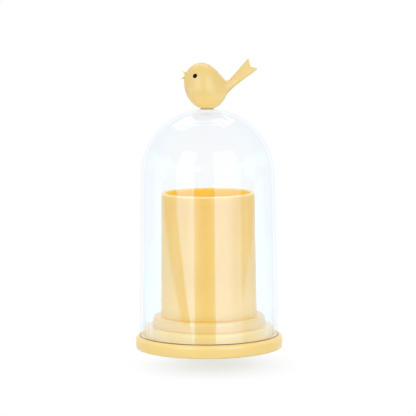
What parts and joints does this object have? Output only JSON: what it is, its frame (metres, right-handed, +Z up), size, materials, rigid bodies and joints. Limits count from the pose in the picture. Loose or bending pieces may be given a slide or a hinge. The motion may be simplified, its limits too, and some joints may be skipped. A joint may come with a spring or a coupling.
{
  "type": "cotton swab dispenser",
  "caption": "Covered cotton swab holder: tapered cup on a stepped round base under a clear bell-shaped dome that lifts off by a bird-shaped handle.",
  "frame": {"origin": "middle of the base's underside, on the surface that the holder stands on", "axes": "+Z up along the axis of the base, cup and dome; the bird looks towards -X; its left side faces -Y"},
  "size_m": [0.08, 0.08, 0.1578],
  "materials": {
    "base_plastic": "glossy moulded, warm yellow",
    "cup_plastic": "glossy moulded, warm yellow",
    "clear_plastic": "polished, clear with a faint blue tint",
    "bird_plastic": "satin moulded, warm yellow",
    "eye_plastic": "polished black bead"
  },
  "bodies": {
    "base": {"base": "base_plastic"},
    "cup": {"swab_cup": "cup_plastic"},
    "dome": {"dome_cover": "clear_plastic", "bird_left_half": "bird_plastic", "bird_right_half": "bird_plastic", "eye_left": "eye_plastic", "eye_right": "eye_plastic"}
  },
  "joints": [
    {"name": "dome_lift", "type": "slide", "parent": "base", "child": "dome", "axis": [0, 0, 1], "range_m": [0, 0.11]},
    {"name": "cup_lift", "type": "slide", "parent": "base", "child": "cup", "axis": [0, 0, 1], "range_m": [0, 0.025]}
  ]
}
